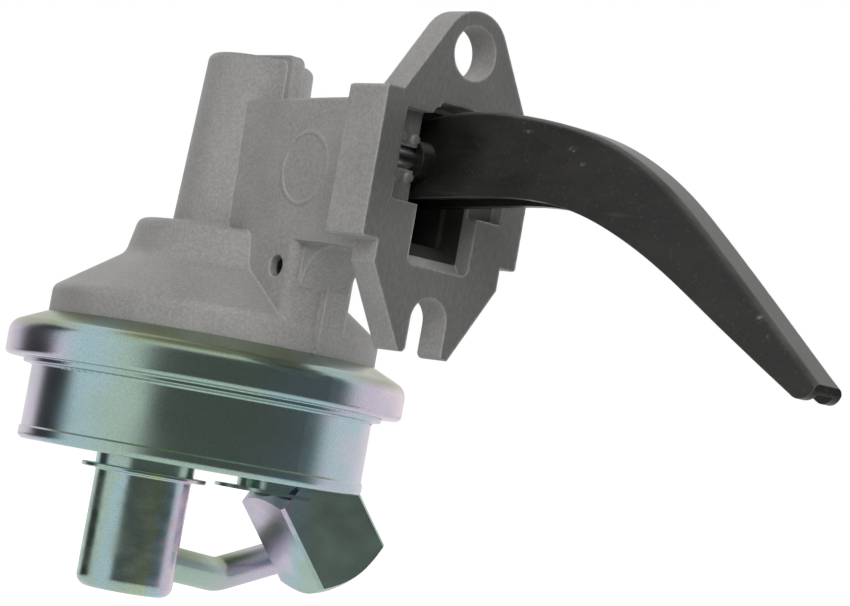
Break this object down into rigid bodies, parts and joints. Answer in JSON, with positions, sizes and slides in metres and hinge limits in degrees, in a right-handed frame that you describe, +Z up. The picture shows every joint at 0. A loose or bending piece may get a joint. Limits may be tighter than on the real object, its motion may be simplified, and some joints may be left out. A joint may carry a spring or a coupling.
{
  "type": "mechanical fuel pump",
  "caption": "Mechanical diaphragm fuel pump with a rocker arm through its bolted flange, a spring tower, a crimped cup, a hose inlet and a threaded outlet",
  "frame": {"origin": "centre of the upper bolt hole, on the mounting face", "axes": "+X leaves the mounting face towards the engine, +Z runs up the axis of the cup and the spring tower, and +Y is the side that both ports point to"},
  "size_m": [0.2304, 0.1025, 0.1342],
  "materials": {
    "casting": "matte die-cast skin",
    "arm_steel": "dark phosphate, scuffed",
    "bright_steel": "plain machined or pressed steel",
    "spring_steel": "oiled wire",
    "seal_rubber": "matte",
    "valve_casting": "matte die-cast skin",
    "brass": "pressed sheet",
    "plated_steel": "bright zinc plating with faint blue, green and yellow tints"
  },
  "bodies": {
    "housing": {"housing_casting": "casting", "pivot_pin": "bright_steel", "rod_seal": "seal_rubber", "seal_retainer": "bright_steel", "return_spring": "spring_steel", "diaphragm_spring": "spring_steel", "diaphragm": "seal_rubber", "valve_body": "valve_casting", "inlet_valve_spring": "spring_steel", "inlet_valve_retainer": "brass", "outlet_valve_spring": "spring_steel", "outlet_valve_retainer": "brass", "cup_gasket": "seal_rubber", "divider_seal": "seal_rubber", "fuel_cup": "plated_steel", "inlet_can": "plated_steel", "inlet_tube": "plated_steel", "outlet_block": "plated_steel"},
    "rocker": {"rocker_arm": "arm_steel", "pivot_bush": "bright_steel", "spring_seat": "bright_steel"},
    "diaphragm_group": {"pull_rod": "bright_steel", "upper_plate": "bright_steel", "lower_plate": "bright_steel", "rivet_washer": "bright_steel"},
    "inlet_valve": {"inlet_valve_disc": "seal_rubber"},
    "outlet_valve": {"outlet_valve_disc": "seal_rubber"}
  },
  "joints": [
    {"name": "rocker_hinge", "type": "hinge", "parent": "housing", "child": "rocker", "pos_m": [-0.0054, 0, -0.0244], "axis": [0, 1, 0], "range_deg": [0, 5], "stiffness_Nm_per_rad": 3, "springref_deg": -28.65},
    {"name": "diaphragm_slide", "type": "slide", "parent": "housing", "child": "diaphragm_group", "axis": [0, 0, 1], "range_m": [0, 0.0064], "deforming": ["return_spring", "diaphragm_spring", "diaphragm"]},
    {"name": "inlet_valve_lift", "type": "slide", "parent": "housing", "child": "inlet_valve", "axis": [0, 0, 1], "range_m": [0, 0.0012], "stiffness_N_per_m": 50, "springref_m": -0.004, "deforming": ["inlet_valve_spring"]},
    {"name": "outlet_valve_lift", "type": "slide", "parent": "housing", "child": "outlet_valve", "axis": [0, 0, -1], "range_m": [0, 0.0012], "stiffness_N_per_m": 50, "springref_m": -0.004, "deforming": ["outlet_valve_spring"]}
  ],
  "couplings": [
    {"joint": "diaphragm_slide", "follows": "rocker_hinge", "m_per_rad": 0.073}
  ]
}
